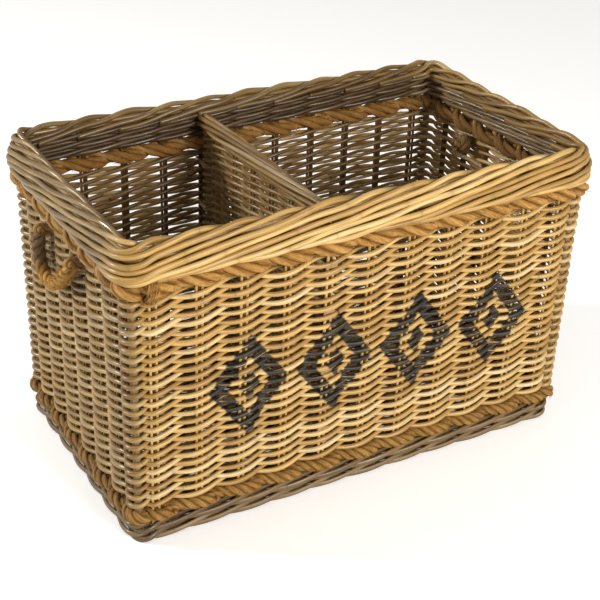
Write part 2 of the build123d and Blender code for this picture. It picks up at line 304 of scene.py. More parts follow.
# ---- materials ----------------------------------------------------------------------------
class Shader:
    """A small helper for writing node materials as expressions."""

    def __init__(self, name):
        self.material = bpy.data.materials.new(name)
        self.material.use_nodes = True
        self.tree = self.material.node_tree
        self.surface = self.tree.nodes["Principled BSDF"]

    def put(self, socket, value):
        if isinstance(value, bpy.types.NodeSocket):
            self.tree.links.new(value, socket)
        elif value is not None:
            socket.default_value = value

    def node(self, kind, inputs, output=0, **settings):
        node = self.tree.nodes.new(kind)
        for key, value in settings.items():
            setattr(node, key, value)
        for key, value in inputs.items():
            self.put(node.inputs[key], value)
        return node.outputs[output]

    def attribute(self, name, output="Fac"):
        return self.node("ShaderNodeAttribute", {}, output, attribute_name=name)

    def math(self, operation, a, b=None):
        return self.node("ShaderNodeMath", {0: a, 1: b}, operation=operation)

    def times(self, a, b):
        return self.math("MULTIPLY", a, b)

    def plus(self, a, b):
        return self.math("ADD", a, b)

    def vector(self, operation, a, b):
        return self.node("ShaderNodeVectorMath", {0: a, 1: b}, operation=operation)

    def even_grey(self, value):
        return self.node("ShaderNodeCombineColor", {0: value, 1: value, 2: value})

    def noise(self, vector, scale, detail):
        inputs = {"Vector": vector, "Scale": scale, "Detail": detail}
        return self.node("ShaderNodeTexNoise", inputs, "Fac")

    def mix(self, factor, a, b, blend="MIX"):
        inputs = {0: factor, 6: a, 7: b}
        return self.node("ShaderNodeMix", inputs, 2, data_type="RGBA", blend_type=blend)

    def remap(self, value, low, high, to_low=0.0, to_high=1.0):
        inputs = {0: value, 1: low, 2: high, 3: to_low, 4: to_high}
        return self.node("ShaderNodeMapRange", inputs, interpolation_type="SMOOTHSTEP")

    def ramp(self, value, stops):
        socket = self.node("ShaderNodeValToRGB", {0: value})
        colours = socket.node.color_ramp.elements
        while len(colours) < len(stops):
            colours.new(0.5)
        for element, (place, colour) in zip(colours, stops):
            element.position = place
            element.color = (*colour, 1.0)
        return socket

    def finish(self, colour, roughness, height, strength, distance, specular=0.5):
        bump = self.node("ShaderNodeBump", {"Strength": strength, "Distance": distance, "Height": height})
        self.put(self.surface.inputs["Base Color"], colour)
        self.put(self.surface.inputs["Roughness"], roughness)
        self.put(self.surface.inputs["Normal"], bump)
        self.put(self.surface.inputs["Specular IOR Level"], specular)
        return self.material


# Lengths inside the materials are metres, and colours are linear.
# A grain pattern's numbers are its waves per metre along a strand, and across it both ways.
CANE_STREAKS = (26.0, 620.0, 620.0)
CANE_BLOTCHES = (11.0, 120.0, 120.0)
CANE_GREYING = (16.0, 260.0, 260.0)
FIBRES = (150.0, 1100.0, 1100.0)
FIBRE_CLUMPS = (30.0, 260.0, 260.0)
SEED_SHIFT = 173.0          # moves each strand to grain of its own
NODE_SPACING = 0.085        # from one node ring of a cane to the next
SCAR = (0.16, 0.09, 0.035, 1)
NODE_RING = (0.09, 0.05, 0.02, 1)
# The colour of a strand fully greyed with age, dark enough to paint the shade on the left end as well.
WEATHERED_AND_SHADED = (0.150, 0.102, 0.047, 1)
SHADED = (0.20, 0.150, 0.092, 1)
PAINT = (0.012, 0.010, 0.007, 1)
# Greys of rope fully greyed with age, which also paint the shade on the left end and the pale light on the
# inside of the right end.
GREY_FIBRE = (0.13, 0.095, 0.055, 1)
PALE_GREY_FIBRE = (0.26, 0.19, 0.11, 1)
SHADED_FIBRE = (0.34, 0.24, 0.15, 1)

MOTIF_COUNT = 4
MOTIF_LEFT = -236.0
MOTIF_PITCH = 125.0
MOTIF_HALF_WIDTH = 58.0
MOTIF_MIDDLE = 199.0
MOTIF_HALF_HEIGHT = 78.0
MOTIF_RAGGED = 0.10         # how far the brush strays, as a share of the lozenge


def grain_space(shader, stretch):
    """Grain coordinates scaled to strand proportions, moved to a new place for each strand."""
    seed = shader.attribute("seed")
    moved = shader.vector("MULTIPLY", shader.attribute("grain", "Vector"), stretch)
    far = shader.times(seed, SEED_SHIFT)
    shift = shader.node("ShaderNodeCombineXYZ", {0: far, 1: seed, 2: seed})
    return shader.vector("ADD", moved, shift)


def stencil(shader):
    """Paint on the front wall: a row of lozenges, each a ring round a solid middle."""
    position = shader.node("ShaderNodeTexCoord", {}, "Object")
    stray = shader.times(shader.noise(position, 160.0, 4.0), MOTIF_RAGGED)
    x, y, z = shader.node("ShaderNodeSeparateXYZ", {0: position}).node.outputs
    column = shader.times(shader.math("SUBTRACT", x, MOTIF_LEFT * MM), 1 / (MOTIF_PITCH * MM))
    inside = shader.math("SUBTRACT", shader.math("FRACT", column), 0.5)
    across = shader.times(shader.math("ABSOLUTE", inside), MOTIF_PITCH / MOTIF_HALF_WIDTH)
    rise = shader.math("ABSOLUTE", shader.math("SUBTRACT", z, MOTIF_MIDDLE * MM))
    rise = shader.times(rise, 1 / (MOTIF_HALF_HEIGHT * MM))
    size = shader.plus(shader.plus(across, rise), stray)
    ring = shader.times(shader.remap(size, 1.05, 0.98), shader.remap(size, 0.55, 0.61))
    paint = shader.math("MAXIMUM", ring, shader.remap(size, 0.36, 0.30))
    paint = shader.times(paint, shader.remap(column, 0.0, 0.01))
    paint = shader.times(paint, shader.remap(column, MOTIF_COUNT, MOTIF_COUNT - 0.01))
    depth = shader.plus(y, (STAKE_Y + 1.5) * MM)
    return shader.times(paint, shader.remap(depth, 0.0, -0.002))


def darkened(shader, colour, dark):
    """The colour darker inside the basket and in the grooves: painted shade, and on the inside also the
    darker colour of unexposed cane.
    """
    return shader.mix(shader.attribute("inner"), colour, shader.mix(1.0, colour, dark, "MULTIPLY"))


def wicker(name, stops, painted=False):
    """Peeled strands: long streaks, blotches, node rings, greying with age and painted shade on the left
    end, painted shade inside and in the grooves, and a satin skin.
    """
    shader = Shader(name)
    seed = shader.attribute("seed")
    streak = shader.noise(grain_space(shader, CANE_STREAKS), 1.0, 6.0)
    blotch = shader.noise(grain_space(shader, CANE_BLOTCHES), 1.0, 3.0)
    tone = shader.plus(shader.times(shader.math("FRACT", seed), 0.62), shader.times(blotch, 0.42))
    shade = shader.even_grey(shader.remap(streak, 0.28, 0.72, 0.70, 1.12))
    colour = shader.mix(1.0, shader.ramp(tone, stops), shade, "MULTIPLY")
    along = shader.node("ShaderNodeSeparateXYZ", {0: shader.attribute("grain", "Vector")})
    from_node = shader.math("PINGPONG", shader.plus(along, shader.times(seed, 0.37)), NODE_SPACING)
    ring = shader.remap(from_node, 0.0016, 0.0004)
    scar = shader.remap(from_node, 0.008, 0.001)
    colour = shader.mix(shader.times(scar, 0.16), colour, SCAR)
    colour = shader.mix(shader.times(ring, 0.18), colour, NODE_RING)
    greying = shader.noise(grain_space(shader, CANE_GREYING), 1.0, 4.0)
    wear = shader.times(shader.attribute("wear"), shader.remap(greying, 0.25, 0.62, 0.45, 1.0))
    colour = darkened(shader, shader.mix(wear, colour, WEATHERED_AND_SHADED), SHADED)
    roughness = shader.remap(streak, 0.3, 0.7, 0.32, 0.54)
    if painted:
        paint = shader.times(stencil(shader), shader.remap(streak, 0.60, 0.68, 1.0, 0.30))
        colour = shader.mix(paint, colour, PAINT)
        roughness = shader.plus(roughness, shader.times(paint, 0.14))
    roughness = shader.math("SUBTRACT", roughness, shader.times(wear, 0.12))
    height = shader.math("SUBTRACT", streak, shader.times(ring, 0.8))
    return shader.finish(colour, roughness, height, 0.5, 0.0005, 0.6)


def fibre(name, stops):
    """Coir rope: coarse, dry fibres laid along each ply."""
    shader = Shader(name)
    strand = shader.noise(grain_space(shader, FIBRES), 1.0, 6.0)
    clump = shader.noise(grain_space(shader, FIBRE_CLUMPS), 1.0, 3.0)
    colour = shader.ramp(shader.plus(shader.times(strand, 0.6), shader.times(clump, 0.45)), stops)
    greying = shader.mix(strand, GREY_FIBRE, PALE_GREY_FIBRE)
    colour = darkened(shader, shader.mix(shader.attribute("wear"), colour, greying), SHADED_FIBRE)
    roughness = shader.remap(strand, 0.3, 0.7, 0.75, 0.95)
    return shader.finish(colour, roughness, strand, 0.8, 0.0008, 0.1)


def stick(name, stretch, dark=(0.11, 0.07, 0.035), light=(0.36, 0.25, 0.13)):
    """Wood of the rods and posts, with its grain along one axis of the frame."""
    shader = Shader(name)
    position = shader.node("ShaderNodeTexCoord", {}, "Object")
    streak = shader.noise(shader.vector("MULTIPLY", position, stretch), 1.0, 5.0)
    blotch = shader.noise(position, 24.0, 3.0)
    tone = shader.plus(shader.times(streak, 0.7), shader.times(blotch, 0.3))
    colour = shader.ramp(tone, [(0.3, dark), (0.7, light)])
    return shader.finish(colour, shader.remap(streak, 0.3, 0.7, 0.5, 0.75), streak, 0.5, 0.0006)


STRAW = [
    (0.0, (0.24, 0.115, 0.028)), (0.22, (0.43, 0.24, 0.060)), (0.45, (0.57, 0.345, 0.100)),
    (0.68, (0.67, 0.445, 0.160)), (0.9, (0.80, 0.62, 0.34)),
]
GOLD = [
    (0.0, (0.25, 0.130, 0.030)), (0.25, (0.45, 0.258, 0.064)), (0.5, (0.60, 0.375, 0.110)),
    (0.75, (0.72, 0.490, 0.180)), (1.0, (0.85, 0.650, 0.330)),
]
DULL = [
    (0.0, (0.085, 0.046, 0.017)), (0.35, (0.185, 0.112, 0.045)), (0.7, (0.290, 0.190, 0.087)),
    (1.0, (0.42, 0.300, 0.160)),
]
FOOT = [
    (0.0, (0.065, 0.034, 0.012)), (0.35, (0.140, 0.083, 0.032)), (0.7, (0.225, 0.143, 0.062)),
    (1.0, (0.34, 0.235, 0.120)),
]
COIR = [
    (0.30, (0.18, 0.080, 0.020)), (0.45, (0.38, 0.195, 0.052)), (0.62, (0.58, 0.335, 0.105)),
    (0.82, (0.77, 0.530, 0.235)),
]
COIR_DARK = [
    (0.30, (0.09, 0.042, 0.010)), (0.45, (0.26, 0.135, 0.036)), (0.64, (0.46, 0.265, 0.082)),
    (0.85, (0.64, 0.42, 0.17)),
]

weave_skin = wicker("wicker_wall", STRAW)
front_skin = wicker("wicker_wall_painted", STRAW, painted=True)
border_skin = wicker("wicker_border", GOLD)
foot_skin = wicker("wicker_foot", FOOT)
inside_skin = wicker("wicker_inside", DULL)
stake_skin = wicker("wicker_stake", GOLD)
rope_skin = fibre("coir_top", COIR)
low_rope_skin = fibre("coir_bottom", COIR_DARK)
handle_skin = fibre("coir_handle", COIR)


# ---- greying with age, painted shade and painted light ------------------------------------
def weathering_and_shade(points):
    """How grey and dark a place is: greying with age, most on the left end and along the back rim, with
    painted shade on the left end as well.
    """
    x, y, z = points[..., 0], points[..., 1], points[..., 2]
    # The left end: greying with age and painted shade.
    left = fade(-x, 250, 90) * fade(y, -195, 60) * (0.78 + 0.12 * fade(z, 250, 120))
    back = fade(y, 120, 70) * 0.55
    right = fade(x, 280, 60) * 0.35
    low = fade(z, 70, -90) * 0.12
    return np.clip(np.maximum.reduce([left, back, right]) + low, 0, 0.9)


def shade_kept(points):
    """How much of the painted inside shade is kept: on the inside of the right end, painted pale light
    leaves it paler.
    """
    return 1.0 - 0.72 * fade(points[..., 0], 270, 60)


def corner_shade(u, corner=36.8, width=0.5):
    """Painted shade: the front left corner is darker than the walls beside it."""
    gap = np.mod(u - corner + COUNT / 2, COUNT) - COUNT / 2
    return 0.62 * np.exp(-((gap / width) ** 2))


def facing_in(offset):
    """Share of the darker inside for an offset from the stake line: painted shade, with the darker colour
    of unexposed cane.
    """
    return 0.8 * fade(offset, 1.8, -5.0) + 0.2 * fade(offset, -4.0, -5.0)


def facing_out(offset):
    """Share of the greying with age, and of the painted shade on the left end, for an offset from the
    stake line.
    """
    return 0.35 + 0.65 * fade(offset, -2, 5)


def inside_shade(points, offset, radius, ring=10):
    """Painted shade round each place of a strand, on its side that faces in, with the darker colour of
    unexposed cane.
    """
    depth = offset[:, None] + radius[:, None] * np.cos(circle(ring))
    return facing_in(depth) * shade_kept(points)[:, None]


# ---- walls --------------------------------------------------------------------------------
ROWS = 24
SAMPLE = 4.5                                                 # between places along a weaver
LENGTHS = ((12, 14, 12), (18, 20), (10, 16, 12), (16, 22))   # stations that one weaver lasts
WALL_MIDDLES = {"front": 5.0, "right": 14.5, "back": 24.0, "left": 33.5}
WALL_REACH = 5.55           # offset of a weaver where it passes a stake
POST_REACH = 2.65           # how much further out it goes round a corner post
WALL_LIFT, CORNER_LIFT = 3.35, 1.3
WALL_SLANT, CORNER_SLANT = 2.9, 2.6
OUTER_SWELL = 0.60          # a weaver is this much thicker outside the stakes than between them
OVERRUN = 0.42              # stations that a weaver's ends run past its first and last stake
TUCK_SPAN = 0.8             # stations over which an end turns in behind a stake
TUCK_DEPTH, TUCK_RISE = 2.6, 2.0
WALE_SPLICE = 18.0          # stations after which a new strand takes over in a wale
WALE_TUCK_SPAN = 0.9
WALE_TUCK_DEPTH, WALE_TUCK_RISE = 1.8, 1.6
FOOT_HEIGHTS = (7.2, 20.8)
RIM_HEIGHTS = (385.0, 396.2, 407.4)


def sway(u, z):
    """Slow rise and fall that neighbouring rows share, so that they never cross."""
    turn = 2 * math.pi * u / COUNT
    return 1.1 * np.sin(3 * turn + 1.0 + z * 0.006) + 0.8 * np.sin(8 * turn + 2.0 + z * 0.011)


def sampled(start, end):
    """Station coordinates from start to end, about one sample length apart."""
    length = float(distance_round(np.array([end]))[0] - distance_round(np.array([start]))[0])
    return np.linspace(start, end, max(6, int(length / SAMPLE)))


def twine(u, phase, reach, lift, slant=0.0):
    """Offset and rise of one strand of a twined pair, half a turn from stake to stake.

    slant sets how much lower the strand lies where it is outside a stake than where it is inside.
    """
    turn = math.pi * (u + phase)
    return reach * np.cos(turn), lift * np.sin(turn) - slant * np.cos(turn)


def tucks(u, span):
    """1 at the first and the last place of a strand, each falling to 0 within span stations."""
    return (1 - fade(u - u[0], 0, span)) ** 1.5, (1 - fade(u[-1] - u, 0, span)) ** 1.5


def nearest_wall(u):
    """Name of the wall whose middle is nearest to station coordinate u."""
    def gap(wall):
        return abs((u - WALL_MIDDLES[wall] + COUNT / 2) % COUNT - COUNT / 2)
    return min(WALL_MIDDLES, key=gap)


def weaver(piece, start, end, z, phase, rng, uneven):
    """One strand of a twined row, with both ends tucked in behind a stake."""
    u = sampled(start - OVERRUN, end + OVERRUN)
    reach = WALL_REACH + POST_REACH * near_corner(u) + ripple(uneven, u, 0.25)
    by_corner = near_corner(u, 0.9)
    lift, slant = WALL_LIFT - CORNER_LIFT * by_corner, WALL_SLANT - CORNER_SLANT * by_corner
    offset, rise = twine(u, phase, reach, lift, slant)
    tuck_in, tuck_out = tucks(u, TUCK_SPAN)
    offset = offset - TUCK_DEPTH * (tuck_in + tuck_out)
    rise = rise + TUCK_RISE * tuck_in - TUCK_RISE * tuck_out
    rise = rise + ripple(uneven, u, 0.35)
    thick = rng.normal(0, 0.22)
    radius = STRAND + OUTER_SWELL * np.clip(offset / reach, 0, 1) + thick + ripple(uneven, u, 0.22)
    points, outward = on_ring(u, offset, z + rise + sway(u, z))
    # Greying with age and painted shade on the left end; painted shade inside and at the front left
    # corner.
    wear = weathering_and_shade(points) * facing_out(offset)
    inner = np.maximum(inside_shade(points, offset, radius), corner_shade(u)[:, None])
    piece.tubes(points, radius, outward, own_number(rng), wear=wear[None], inner=inner[None])


def wall_rows():
    pieces = {wall: Piece("wall_weave_" + wall) for wall in WALL_MIDDLES}
    rng = np.random.default_rng(11)
    pitch = (WEAVE_HIGH - WEAVE_LOW) / ROWS
    for row in range(ROWS):
        z = WEAVE_LOW + pitch * (row + 0.5)
        for phase in (0, 1):
            lengths = rng.permutation(LENGTHS[rng.integers(len(LENGTHS))])
            first = 2 * int(rng.integers(COUNT // 2)) + 1 - phase
            cuts = first + np.concatenate([[0], np.cumsum(lengths)])
            uneven = offshoot(rng)
            for start, end in zip(cuts[:-1], cuts[1:]):
                piece = pieces[nearest_wall((start + end) / 2)]
                weaver(piece, start, end, z, phase, rng, uneven)
    for wall, piece in pieces.items():
        skin = weave_skin if wall == "back" else front_skin
        piece.build("basket", "wall_weave", skin, ["weave_" + wall, "weave_corners"])


def wale(piece, z, reach, shift, lift, radius, flat, rng, lean=1.0, phase=0.5):
    """Three strands, each outside two stations and inside the third. lean -1 turns that round."""
    starts = np.arange(3) + 1.5 - phase
    ends = np.roll(starts, -1) + COUNT
    for strand in range(3):
        cuts = (starts[strand], starts[strand] + WALE_SPLICE, ends[strand])
        for start, end in zip(cuts[:-1], cuts[1:]):
            u = sampled(start - 0.4, end + 0.4)
            turn = 2 * math.pi * (u - strand + phase) / 3
            uneven = offshoot(rng)
            tuck_in, tuck_out = tucks(u, WALE_TUCK_SPAN)
            offset = shift + (reach + 1.2 * near_corner(u)) * np.cos(turn)
            offset = lean * (offset - WALE_TUCK_DEPTH * (tuck_in + tuck_out))
            rise = lean * lift * np.sin(turn) + ripple(uneven, u, 0.4)
            rise = rise + WALE_TUCK_RISE * (tuck_in - tuck_out)
            size = radius * (1 + rng.normal(0, 0.05)) + ripple(uneven, u, 0.15)
            points, outward = on_ring(u, offset, z + rise)
            points[:, 2] = np.maximum(points[:, 2], size)
            # Greying with age and painted shade on the left end, and painted shade inside.
            wear = weathering_and_shade(points) * facing_out(offset)
            inner = 0.9 * inside_shade(points, offset, size)
            piece.tubes(points, size, outward, own_number(rng), wear[None], inner[None], flat=flat)


def foot_rows():
    piece = Piece("foot_band_strands")
    rng = np.random.default_rng(21)
    for row, z in enumerate(FOOT_HEIGHTS):
        wale(piece, z, reach=5.7, shift=1.6, lift=3.6, radius=3.75, flat=0.68, rng=rng, phase=row + 0.5)
    piece.build("basket", "foot_band", foot_skin, ["foot_band"])


def rim_rows():
    piece = Piece("rim_rows")
    rng = np.random.default_rng(31)
    for row, z in enumerate(RIM_HEIGHTS):
        wale(piece, z, reach=5.9, shift=1.6, lift=2.9, radius=3.1, flat=0.85, rng=rng, lean=-1.0,
             phase=row + 0.5)
    piece.build("basket", "wall_weave", inside_skin, ["rim_weave"])


def stake_sticks():
    """Two sticks at each station, with a thinner third one between and behind them."""
    piece = Piece("stake_sticks")
    rng = np.random.default_rng(41)
    z = np.linspace(STAKE_LOW, STAKE_HIGH - 1.0, 60)
    ring = 8
    for station in range(COUNT):
        if station in CORNERS:
            continue
        for side in (-1, 0, 1):
            centre = distance_round(np.array([float(station)]))[0] + side * PAIR_HALF
            bend = 0.35 * np.sin(z / rng.uniform(50, 90) + rng.uniform(0, 6))
            x, y, nx, ny, lx, ly = ring_at(centre + bend)
            points = np.stack([x + LEAN * z * lx, y + LEAN * z * ly, z], -1)
            outward = np.stack([nx, ny, 0 * nx], -1)
            radius = STAKE_RADIUS + rng.normal(0, 0.08) + 0.08 * np.sin(z / 23 + rng.uniform(0, 6))
            # Painted shade: each stick is darker on the side that faces in, and the stick behind the pair
            # is dark all over.
            if side:
                dark = np.clip(0.5 - radius[:, None] * np.cos(circle(ring)) / 2, 0, 1)
            else:
                points, radius = points - 0.4 * outward, radius - 0.25
                dark = np.ones((len(z), 1))
            # Greying with age and painted shade on the left end.
            wear = weathering_and_shade(points) * 0.5
            piece.tubes(points, radius, outward, own_number(rng), wear[None], dark[None], ring)
    replaced = ["stakes_front", "stakes_back", "stakes_left", "stakes_right"]
    piece.build("basket", "stakes", stake_skin, replaced)


# ---- border -------------------------------------------------------------------------------
# One border strand, as (stations travelled, offset, height): from behind the rope, out under the
# lip, up across the outside, over the crest and down inside.
BORDER_RUN = [
    (-1.0, 3.0, 380.5), (-0.5, 9.5, 380.0), (0.0, 15.0, 382.0), (0.6, 17.0, 385.8), (1.5, 16.5, 393.2),
    (2.5, 14.9, 401.6), (3.5, 12.9, 409.8), (4.4, 10.5, 417.8), (5.1, 7.8, 424.4), (5.5, 4.8, 428.0),
    (5.85, 0.4, 426.8), (6.2, -3.6, 422.4), (6.8, -5.2, 417.0), (7.6, -5.8, 411.2), (7.9, -5.8, 409.2),
]
BORDER_RADIUS = 3.65
BORDER_WAVES = (5, 9, 14, 21)
CREST = 430.0               # a strand's unevenness dies out towards this height
# Rods that run round inside the border, as (offset, height).
BORDER_CORE = ((8.6, 389.0), (7.8, 398.5), (6.6, 407.5), (4.6, 415.5), (0.8, 420.6))
CORE_RADIUS = 3.7


def border_strands():
    piece = Piece("border_strands")
    rng = np.random.default_rng(51)
    ring = 12
    facing = np.cos(circle(ring))
    # Painted shade on the side of each strand that faces in, between the strands.
    groove = 0.65 * fade(facing, 0.15, -0.9)
    t = np.linspace(BORDER_RUN[0][0], BORDER_RUN[-1][0], 120)
    run, height = through(BORDER_RUN, t)
    for station in range(COUNT):
        u = station + t + 0.25
        uneven = offshoot(rng)
        offset = run + ripple(uneven, u, 1.8, BORDER_WAVES) - np.abs(rng.normal(0, 0.7))
        z = height + ripple(uneven, u, 2.9, BORDER_WAVES) * fade(height, CREST, -12)
        radius = BORDER_RADIUS + rng.normal(0, 0.28) + ripple(uneven, u, 0.28)
        points, outward = on_ring(u, offset, z)
        # Painted shade inside the basket, less of it at the right end, where pale light is painted;
        # greying with age and painted shade on the left end.
        inside = 0.85 * fade(offset[:, None] + radius[:, None] * facing, 2.0, -8)
        inner = np.maximum(inside, groove) * shade_kept(points)[:, None] ** 0.6
        piece.tubes(points, radius, outward, own_number(rng), weathering_and_shade(points)[None], inner[None], ring)
    u = np.linspace(0, COUNT, 700)
    for offset, z in BORDER_CORE:
        points, outward = on_ring(u, offset + ripple(rng, u, 0.4), z + ripple(rng, u, 0.4))
        # Painted shade over the rods inside the border.
        piece.tubes(points, CORE_RADIUS + ripple(rng, u, 0.2), outward, rng.random(), 0.2, 0.75, ring=9)
    piece.build("basket", "border", border_skin, ["border"])


# ---- rope ---------------------------------------------------------------------------------
PLY_OFFSET = 0.46           # of the rope's radius, from its middle to the middle of a ply
PLY_RADIUS = 0.56
PLY_TONE = 0.31             # step in tone from one ply to the next
CORD_START = 0.3            # station where the first cord of a band starts and ends
CORD_PLACES = 820
CORD_PLIES = 3
PINCH = 0.15                # share of its radius that a cord loses between two stakes


def laid(piece, points, side, radius, plies, lay, rng, wear=0.0, inner=0.0, ring=10):
    """A rope of twisted plies round a path. Returns what loose fibres need to stand on it."""
    tangent = unit(np.gradient(points, axis=0))
    side = unit(side - tangent * np.sum(side * tangent, -1, keepdims=True))
    other = np.cross(tangent, side)
    step = np.linalg.norm(np.diff(points, axis=0), axis=-1)
    along = np.concatenate([[0], np.cumsum(step)])
    radius = np.broadcast_to(radius, along.shape)
    seed = own_number(rng)
    # Painted shade in the grooves between the plies.
    groove = fade(np.cos(circle(ring)), 0.72, -0.75)
    inner = np.maximum(np.broadcast_to(inner, (1, len(points)))[..., None], groove)
    for ply in range(plies):
        turn = 2 * math.pi * (along / lay + ply / plies)
        out = np.cos(turn)[:, None] * side + np.sin(turn)[:, None] * other
        path = points + out * (radius * PLY_OFFSET)[:, None]
        piece.tubes(path, radius * PLY_RADIUS, out, seed + ply * PLY_TONE, wear, inner, ring)
    return points, tangent, side, other, radius, wear


def fuzz(piece, rope, count, rng, reach=(4.0, 13.0), lay=0.5):
    """Loose fibres that follow the lay of a rope and lift off it."""
    points, tangent, side, other, radius, wear = rope
    where = rng.integers(2, len(points) - 3, count)
    turn = rng.uniform(0, 2 * math.pi, count)
    length = rng.uniform(*reach, count)[:, None]
    out = np.cos(turn)[:, None] * side[where] + np.sin(turn)[:, None] * other[where]
    round_it = np.cross(tangent[where], out)
    way = rng.choice([-1, 1], count)[:, None]
    heading = unit(way * (tangent[where] + round_it * rng.normal(lay, 0.45, count)[:, None]))
    lift = rng.uniform(-0.02, 0.5, count)[:, None]
    t = np.linspace(0, 1, 5)
    root = points[where] + out * (radius[where] * 0.98)[:, None]
    ahead = heading[:, None] * (t * length)[..., None]
    away = out[:, None] * ((t**2 - 0.12 * t) * length * lift)[..., None]
    size = rng.uniform(0.18, 0.42, count)[:, None] * (1 - 0.75 * t)
    grey = wear[0][where][:, None] if np.ndim(wear) else wear
    seed = rng.random(count)[:, None] + 3.0
    piece.tubes(root[:, None] + ahead + away, size, round_it[:, None], seed, wear=grey, ring=3)


def rope_cords(node, z, reach, lift, radius, lay, skin, seed, hairs, greying):
    """Two cords twined round the stakes, the opposite hand from the weave."""
    piece, fibres = Piece(node + "_cords"), Piece(node + "_cords_fibres")
    rng = np.random.default_rng(seed)
    for phase in (0, 1):
        u = np.linspace(CORD_START + phase, CORD_START + phase + COUNT, CORD_PLACES)
        offset, rise = twine(u, phase, reach + 0.8 * near_corner(u), -lift)
        uneven = offshoot(rng)
        size = radius * (0.85 + PINCH * np.abs(np.cos(math.pi * u))) + ripple(uneven, u, 0.35)
        points, outward = on_ring(u, offset + ripple(uneven, u, 0.4), z + rise + ripple(uneven, u, 0.6))
        # Greying with age and painted shade on the left end, painted pale light as grey on the inside of
        # the right end, and painted shade on the side that faces in.
        inside = facing_in(offset)
        grey = np.maximum(weathering_and_shade(points) * greying, 0.8 * inside * (1 - shade_kept(points)))
        rope = laid(piece, points, outward, size, CORD_PLIES, lay, rng, grey[None], inside[None] * 0.7)
        fuzz(fibres, rope, hairs, rng)
    piece.build("basket", node, skin, [node])
    fibres.build("basket", node, skin, [])


# One turn of the binding round the upper rope, as (share of the turn, offset, rise).
BINDING_TURN = [(0.0, 6.0, -12.0), (0.3, 16.5, -9.0), (0.5, 19.5, 0.0), (0.7, 17.0, 8.0), (1.0, 7.0, 12.0)]


def rope_binding():
    """Where the upper rope starts: its end is wrapped over the band beside the front left corner."""
    piece, fibres = Piece("top_rope_binding"), Piece("top_rope_binding_fibres")
    rng = np.random.default_rng(66)
    t = np.linspace(0, 1, 40)
    offset, rise = through(BINDING_TURN, t)
    for turn in range(4):
        u = -0.45 + 0.10 * turn + 0.12 * t
        points, _ = on_ring(u, offset, TOP_ROPE_Z + rise)
        rope = laid(piece, points, carried(points), 3.2 + rng.normal(0, 0.2), 2, 24.0, rng, ring=8)
        fuzz(fibres, rope, 90, rng, (6.0, 16.0), 0.1)
    piece.build("basket", "top_rope", rope_skin, [])
    fibres.build("basket", "top_rope", rope_skin, [])


# ---- divider ------------------------------------------------------------------------------
DIVIDER_ROWS = 34
DIVIDER_ENDS = (157.5, 184.0)   # the end post, and the place where the panel's rows stop
DIVIDER_REACH, DIVIDER_LIFT, DIVIDER_SLANT = 5.3, 3.05, 1.5
DIVIDER_STRAND = 2.8
ROPE_CLEARANCE = 18.5           # from the wall's stake line to the rows beside a rope band
WALL_CLEARANCE = 10.5
EDGE_STRANDS = 8
EDGE_TURN = 1.9                 # how far a strand winds round the rod from the middle to an end
EDGE_RADIUS = 3.2


def divider_rows():
    piece = Piece("divider_rows")
    rng = np.random.default_rng(71)
    post, stop = DIVIDER_ENDS
    places = np.concatenate([[-stop, -post], END_PLACES, [post, stop]])
    stations = np.arange(len(places))
    pitch = (TOP_ROD_Z - 8 - DIVIDER_LOW) / DIVIDER_ROWS
    for row in range(DIVIDER_ROWS):
        z = DIVIDER_LOW + pitch * (row + 0.5)
        at_rope = min(abs(z - TOP_ROPE_Z) - 15, abs(z - BOTTOM_ROPE_Z) - 14) < 0
        reach = STAKE_Y + LEAN * z - (ROPE_CLEARANCE if at_rope else WALL_CLEARANCE)
        for phase in (0, 1):
            y = np.linspace(-reach, reach, 76)
            u = np.interp(y, places, stations)
            uneven = offshoot(rng)
            at_post = np.exp(-((np.minimum(abs(u - 1), abs(u - 8)) / 0.4) ** 2))
            offset, rise = twine(u, phase, DIVIDER_REACH + at_post, DIVIDER_LIFT, DIVIDER_SLANT)
            radius = DIVIDER_STRAND + rng.normal(0, 0.2) + ripple(uneven, 4 * u, 0.2)
            points = np.stack([DIVIDER_X + offset, y, z + rise + 0.8 * np.sin(u * 0.9 + z * 0.02)], -1)
            # Painted shade over the divider, which stands inside the basket.
            piece.tubes(points, radius, X_AXIS, own_number(rng), wear=0.12, inner=0.66, ring=9)
    piece.build("basket", "divider_weave", weave_skin, ["divider_weave"])

    sticks = Piece("divider_sticks")
    z = np.linspace(DIVIDER_LOW + 1, TOP_ROD_Z - 7, 50)
    for place in END_PLACES:
        for side in (-PAIR_HALF, PAIR_HALF):
            points = np.stack([DIVIDER_X + 0 * z, place + side + 0.4 * np.sin(z / 60 + place), z], -1)
            radius = STAKE_RADIUS + rng.normal(0, 0.06)
            # Painted shade over the divider's sticks.
            sticks.tubes(points, radius, X_AXIS, own_number(rng), inner=0.4, ring=8)
    sticks.build("basket", "stakes", stake_skin, ["divider_stakes"])


